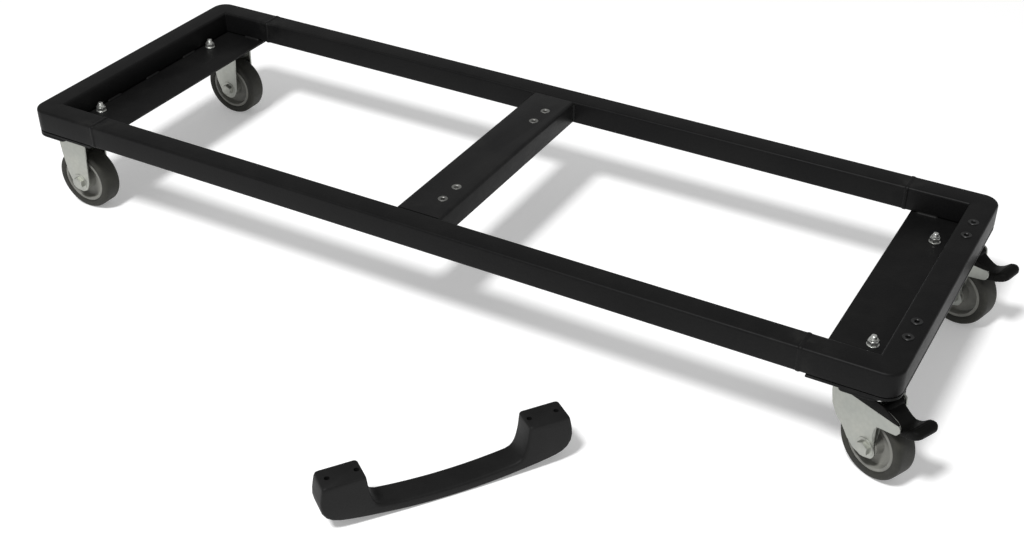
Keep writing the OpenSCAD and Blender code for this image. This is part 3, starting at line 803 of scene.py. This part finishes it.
def fork_outline(swivel, braked, side):
    """The leg's outline in its own plane, in metres: (u, z)."""
    head, axle = swivel.head / MM, swivel.axle / MM
    if braked:
        points = [(26, axle + 30), (23.5, axle + 19), (26, axle + 6), (29, axle - 3), (26, axle - 9),
                  (16, axle - 12.5), (4, axle - 10.5), (-5.5, axle - 3.5), (-13, axle + 6),
                  (-22, axle + 12.5), (-28.5, axle + 24), (-31, axle + 38), (-31, head), (22, head),
                  (22, head - 4.5)]
        arm = [(33, head - 5), (47, head - 9), (52, head - 14), (52, head - 19), (49, head - 24),
               (40, head - 26)]
        points += arm if side < 0 else [(29.5, head - 8), (30.6, head - 16)]
    else:
        points = [(-6, head), (34, head), (33, axle + 28), (31, axle), (27, axle - 9), (20, axle - 13),
                  (13, axle - 12), (6, axle - 5), (0, axle + 10), (-4, axle + 34)]
    return [(u * MM, z * MM) for u, z in points]


def fork(swivel, braked):
    """Two legs and a crown bent from one sheet, a pressed race on top and a rim round each axle hole."""
    head = swivel.head
    bend = 3.5 * MM
    bm = bmesh.new()
    for side in (-1, 1):
        w0, w1 = sorted((side * FORK_IN, side * FORK_OUT))
        outline = [(u, min(z, head - bend)) for u, z in fork_outline(swivel, braked, side)]
        prism(bm, rounded(outline, 5 * MM, 5), w0, w1, 0.6 * MM, lambda u, v, w: Vector((u, w, v)))
    x0, x1 = (-31 * MM, 22 * MM) if braked else (-6 * MM, 34 * MM)
    for side in (-1, 1):
        outer = arc(FORK_OUT - bend, head - bend, bend, 90, 0, 7)
        inner = arc(FORK_OUT - bend, head - bend, bend - FORK_T, 0, 90, 5)
        section = [(FORK_OUT - bend - 2 * MM, head)] + outer + [(FORK_OUT, head - bend - 1.4 * MM),
                   (FORK_IN, head - bend - 1.4 * MM)] + inner + [(FORK_OUT - bend - 2 * MM, head - FORK_T)]
        section = section if area(section) > 0 else section[::-1]
        prism(bm, section, x0 + 0.1 * MM, x1 - 0.1 * MM, 0.5 * MM,
              lambda u, v, w, side=side: Vector((w, side * u, v)), 2)
    crown = [(x0, -FORK_OUT + bend), (x1, -FORK_OUT + bend), (x1, FORK_OUT - bend), (x0, FORK_OUT - bend)]
    prism(bm, crown, head - FORK_T, head, 0.5 * MM, lambda u, v, w: Vector((u, v, w)))
    race = [(5.05, -2.5), (16.9, -2.5), (17.4, -2.1), (17.5, -1.2), (17.45, -0.3), (17.1, 0.0), (16.6, -0.1),
            (15.5, -0.6), (14.2, -0.15), (12.4, 0.0), (5.05, 0.0)]
    turned(bm, [(r * MM, head + h * MM) for r, h in race], (0, 0, 0), "z", 72)
    for side in (-1, 1):
        face = side * FORK_OUT
        rim = face + side * 0.55 * MM
        ring_body(bm, swivel.centre, "y", 4.4 * MM, 10.2 * MM, min(face, rim), max(face, rim), 0.25 * MM)
    swivel.piece("_bent_fork", bm, ZINC, swivel.body, "_fork", "bright_zinc")


def axle(swivel):
    """The hexagon bolt through the wheel, its lock nut, and the bush between the legs."""
    centre = swivel.centre
    rim = FORK_OUT + 0.5 * MM
    bm = bmesh.new()
    hexagon(bm, centre, "y", M8_ACROSS, -rim, -FORK_OUT - 5.3 * MM, both=False)
    thread(bm, centre, "y", M8_R, -rim, FORK_OUT + 8.6 * MM, 1.25 * MM, 0.4 * MM)
    swivel.piece("_hex_axle", bm, ZINC, swivel.body, "_axle_bolt", "bright_zinc")
    bm = bmesh.new()
    hexagon(bm, centre, "y", M8_ACROSS, rim, FORK_OUT + 5.6 * MM, bore=M8_BORE)
    collar = [(3.95, 5.2), (5.8, 5.2), (5.8, 6.6), (5.5, 7.3), (4.9, 7.6), (4.3, 7.4), (3.95, 7.0)]
    turned(bm, [(r * MM, FORK_OUT + h * MM) for r, h in collar], centre, "y", 40)
    swivel.piece("_axle_lock_nut", bm, ZINC_NUT, swivel.body, "_axle_nut", "bright_zinc")
    bm = bmesh.new()
    ring_body(bm, centre, "y", 4.05 * MM, 6 * MM, -FORK_IN, FORK_IN, 0.3 * MM)
    swivel.piece("_spacer_bush", bm, DULL_ZINC, swivel.body, "_axle_bush", "dull_zinc")


def wheel(swivel):
    """The tyre, slightly crowned, and the dished core inside it."""
    body = swivel.corner + "_wheel"
    radius, half = swivel.axle - FLOOR_Z, 12 * MM
    rim = radius - 9 * MM

    bm = bmesh.new()
    shoulder = 4 * MM
    side = [(rim, -half + 0.9 * MM), (rim + 1.1 * MM, -half + 0.2 * MM), (rim + 2.0 * MM, -half),
            (radius - shoulder, -half)]
    turn = arc(radius - shoulder, -half + shoulder, shoulder, 270, 350, 8)
    crown = [(radius - 0.02 * MM, -half + 6.5 * MM), (radius, -3 * MM)]
    lower = side + turn[1:] + crown
    outline = lower + [(r, -h) for r, h in reversed(lower)]
    turned(bm, outline, swivel.centre, "y", 128)
    swivel.piece("_moulded_tyre", bm, RUBBER, body, "_tyre", "dark_tread")

    bm = bmesh.new()
    hub = 14.4
    lower = [(6.06, -hub + 0.4), (6.5, -hub), (10.6, -hub), (11.4, -hub + 0.7), (11.7, -6.2),
             (12.6, -4.0), (14.5, -3.1), (21.5, -3.1), (23.6, -4.0), (24.5, -6.0), (24.6, -10.2),
             (25.2, -11.0), (27.8, -11.0), (28.4, -10.6), (28.5, -9.6)]
    outline = lower + [(r, -h) for r, h in reversed(lower)]
    turned(bm, [(r * MM, h * MM) for r, h in outline], swivel.centre, "y", 128)
    swivel.piece("_dished_core", bm, WHEEL_GREY, body, "_wheel_core", "grey_wheel")


# ---------------------------------------------------------------- brakes
# The pedal's side view, as (distance from the pin, top, underside) in millimetres
PEDAL_SIDE = [(-4, 3.5, -3.5), (3, 1.5, -5.2), (7, -1.2, -7.1), (11, -4, -9.4), (15.5, -6.3, -12.7),
              (20, -7.5, -15.3), (24, -6.4, -15.1), (28, -4.2, -14.1), (31, -1.8, -12.8), (34, 0.5, -11.5),
              (37, 1.6, -10.2), (40, 2.0, -8.8), (43, 1.0, -7.4), (45.2, -1.8, -5.4)]


def pedal(swivel):
    """The pedal, as a run of rounded sections: a lever over the tyre, then a wider paddle."""
    pin = joint_place(swivel.corner + "_brake_press")
    pin_u = (pin - joint_place(swivel.corner + "_swivel_turn")).to_2d().length
    inner, wide, flare_u, round_u = 12.8, 15.4, 30.0, 37.0
    around, pin_hole_r, boss_r, boss_half = 28, 2.55 * MM, 4.6 * MM, 13.0 * MM
    dense = []
    for here, there in zip(PEDAL_SIDE, PEDAL_SIDE[1:]):
        for k in range(3):
            dense.append(tuple(p + (q - p) * k / 3 for p, q in zip(here, there)))
    dense.append(PEDAL_SIDE[-1])
    bm = bmesh.new()
    rings = []
    for u, top, low in dense:
        flare = min(1.0, max(0.0, (u - flare_u) / 2.5))
        half = inner + (wide - inner) * flare * flare * (3 - 2 * flare)
        if u > round_u:
            half -= 6.0 * (1 - math.sqrt(max(0.0, 1 - ((u - round_u) / 8.3) ** 2)))
        ridge = 0.3 * math.sin((u - flare_u) * 1.9) if flare_u < u < 42 else 0.0
        middle, tall = (top + low - abs(ridge)) / 2, (top - low) / 2 + ridge / 2
        ring = []
        for k in range(around):
            a = 2 * math.pi * k / around
            across = half * math.copysign(abs(math.cos(a)) ** 0.32, math.cos(a))
            up = middle + tall * math.copysign(abs(math.sin(a)) ** 0.5, math.sin(a))
            ring.append(Vector((pin_u + u * MM, across * MM, pin.z + up * MM)))
        rings.append(ring)
    loft(bm, rings)
    centre = (pin_u, 0, pin.z)
    ring_body(bm, centre, "y", pin_hole_r, boss_r, -boss_half, boss_half, 0.4 * MM, 40)
    swivel.piece("_moulded_pedal", bm, PEDAL_BLACK, swivel.corner + "_brake", "_brake_pedal",
                 "black_pedal", 50)

    bm = bmesh.new()
    rod(bm, centre, "y", 2.5 * MM, -FORK_OUT, FORK_OUT)
    swivel.piece("_brake_rod", bm, ZINC_NUT, swivel.body, "_brake_pin", "bright_zinc")


def hood(swivel):
    """The moulded cover outside the crown: a long cheek beside the arm, a short one, and a front."""
    top, low = swivel.head - 0.2 * MM, swivel.head - 11 * MM
    back = -18 * MM
    sheet = 2 * MM
    long_cheek = [(back, low), (46 * MM, low), (52 * MM, low + 0.5 * MM), (50 * MM, low + 3 * MM),
                  (28 * MM, top), (back, top)]
    short_cheek = [(back, low), (24.5 * MM, low), (24.5 * MM, top), (back, top)]
    bm = bmesh.new()
    for outline, v0, v1 in ((long_cheek, -FORK_OUT - sheet, -FORK_OUT),
                            (short_cheek, FORK_OUT, FORK_OUT + sheet)):
        prism(bm, rounded(outline, 2.5 * MM, 4), v0, v1, 0.5 * MM, lambda u, v, w: Vector((u, w, v)))
    front = [(22.2, -2.8), (24.5, -2.8), (24.5, -0.3), (22.2, -0.3)]
    half = FORK_OUT + 0.1 * MM
    prism(bm, [(u * MM, swivel.head + z * MM) for u, z in front], -half, half, 0.2 * MM,
          lambda u, v, w: Vector((u, w, v)), 2)
    swivel.piece("_moulded_hood", bm, PEDAL_BLACK, swivel.body, "_brake_hood", "black_pedal")


# ---------------------------------------------------------------- pull handle
HANDLE_TURN = math.radians(54)


def pull_handle():
    """The bow handle, as a run of rounded rectangles from one foot to the other."""
    middle = (handle_lo + handle_hi) / 2
    turn = HANDLE_TURN
    cos, sin = math.cos(turn), math.sin(turn)
    half_w, soft = 14.0, 3.0
    bow_r, grip_t = 530.0, 11.0

    def place(u, v, w):
        along, across = u * cos - w * sin, u * sin + w * cos
        return Vector((middle.x + along * MM, middle.y + across * MM, FLOOR_Z + v * MM))

    def bow(r, x):
        return x, bow_r - math.sqrt(r * r - x * x)

    stations = [(bow(bow_r, x), bow(bow_r - grip_t, x * 0.99), 1.0) for x in range(0, 61, 6)]
    stations += [(bow(bow_r, x), inner, 1.0) for x, inner in (
        (68, (66.5, 15.3)), (79, (70.6, 17.0)), (91, (73.2, 19.4)), (101, (75.0, 22.6)))]
    stations += [(outer, inner, 1.0) for outer, inner in (
        ((109.5, 11.6), (76.2, 25.6)), ((116.2, 14.2), (77.3, 29.4)), ((121.2, 18.2), (78.3, 33.6)),
        ((124.6, 24.0), (79.1, 38.0)), ((125.8, 31.0), (79.7, 42.4)), ((125.4, 38.0), (80.1, 46.4)),
        ((124.3, 45.0), (80.5, 49.8)), ((123.1, 50.8), (80.8, 52.3)))]
    stations += [((122.1, 53.1), (81.4, 53.3), 0.985), ((120.9, 54.0), (82.6, 54.0), 0.93)]
    run = [((-a[0], a[1]), (-b[0], b[1]), s) for a, b, s in reversed(stations[1:])] + stations
    rings = []
    for outer, inner, scale in run:
        a, b = Vector(outer), Vector(inner)
        length = (b - a).length
        r = min(soft, length * 0.45)
        across = half_w * scale
        corner_spots = ((length - r, across - r, 0), (r, across - r, 90), (r, -across + r, 180),
                        (length - r, -across + r, 270))
        section = [p for cx, cy, start in corner_spots for p in arc(cx, cy, r, start, start + 90, 5)]
        way = (b - a).normalized()
        rings.append([place(a.x + way.x * s, a.y + way.y * s, w) for s, w in section])
    bm = bmesh.new()
    loft(bm, rings)
    obj = piece("bow_pull_handle", bm, HANDLE_BLACK, "handle", ["pull_handle"], "handle_plastic", 40)
    holes = []
    for side in (-1, 1):
        for row in HOLE_ROWS:
            p = place(side * row / MM, 0, 0)
            holes.append(((p.x, p.y, FLOOR_Z), "z", 2.6 * MM, 36 * MM, 60 * MM))
    drill(obj, holes)


rails()
end_tubes()
end_plates()
cross_member()
rail_joint_beads()
end_plate_beads()
cross_member_beads()
inserts()
caster_bolts()
weld_nuts()
lock_nuts()
washers()
for corner in CORNERS:
    braked = "right" in corner
    top_plate(corner)
    kingpin(corner)
    swivel = Swivel(corner)
    fork(swivel, braked)
    axle(swivel)
    wheel(swivel)
    if braked:
        pedal(swivel)
        hood(swivel)
    balls = frame["nodes"][corner + "_ball_ring"]
    balls.data.materials.clear()
    balls.data.materials.append(ZINC_NUT)
pull_handle()


# ---------------------------------------------------------------- floor and light
FLOOR_GLOW = 0.25
FLOOR_HALF = 6.0
WORLD_STRENGTH = 0.36
LAMP_PLACE = (0.0, -2.7, 4.2)
LAMP_SIZE = 0.85
LAMP_POWER = 200


def paper_floor():
    """A pale sheet of paper that glows a little, so that it comes out white."""
    bm = bmesh.new()
    bmesh.ops.create_grid(bm, x_segments=8, y_segments=8, size=FLOOR_HALF)
    bmesh.ops.translate(bm, verts=bm.verts, vec=(0, 0, FLOOR_Z))
    mesh = bpy.data.meshes.new("floor")
    bm.to_mesh(mesh)
    bm.free()
    floor = bpy.data.objects.new("floor", mesh)
    n = Nodes("floor_paper")
    drift = n.spread(n.noise(3.0, 2.0), 0.3, 0.7)
    color = n.mix(drift, (0.90, 0.90, 0.90), (0.92, 0.92, 0.92))
    n.shader.inputs["Emission Color"].default_value = (1.0, 1.0, 1.0, 1.0)
    n.shader.inputs["Emission Strength"].default_value = FLOOR_GLOW
    mesh.materials.append(n.finish(color, n.spread(drift, 0.0, 1.0, 0.85, 0.95), Specular_IOR_Level=0.1))
    bpy.context.scene.collection.objects.link(floor)


def studio():
    """An even white surround and one large soft lamp above and in front."""
    world = bpy.data.worlds.new("studio")
    world.use_nodes = True
    back = world.node_tree.nodes["Background"]
    back.inputs["Color"].default_value = (1.0, 1.0, 1.0, 1.0)
    back.inputs["Strength"].default_value = WORLD_STRENGTH
    bpy.context.scene.world = world

    data = bpy.data.lights.new("overhead", "AREA")
    data.shape = "DISK"
    data.size = LAMP_SIZE
    data.energy = LAMP_POWER
    lamp = bpy.data.objects.new("overhead", data)
    lamp.location = LAMP_PLACE
    lamp.rotation_euler = (-Vector(LAMP_PLACE)).to_track_quat("-Z", "Y").to_euler()
    bpy.context.scene.collection.objects.link(lamp)


paper_floor()
studio()
scene = bpy.context.scene
scene.view_settings.view_transform = "Standard"
scene.view_settings.look = "None"
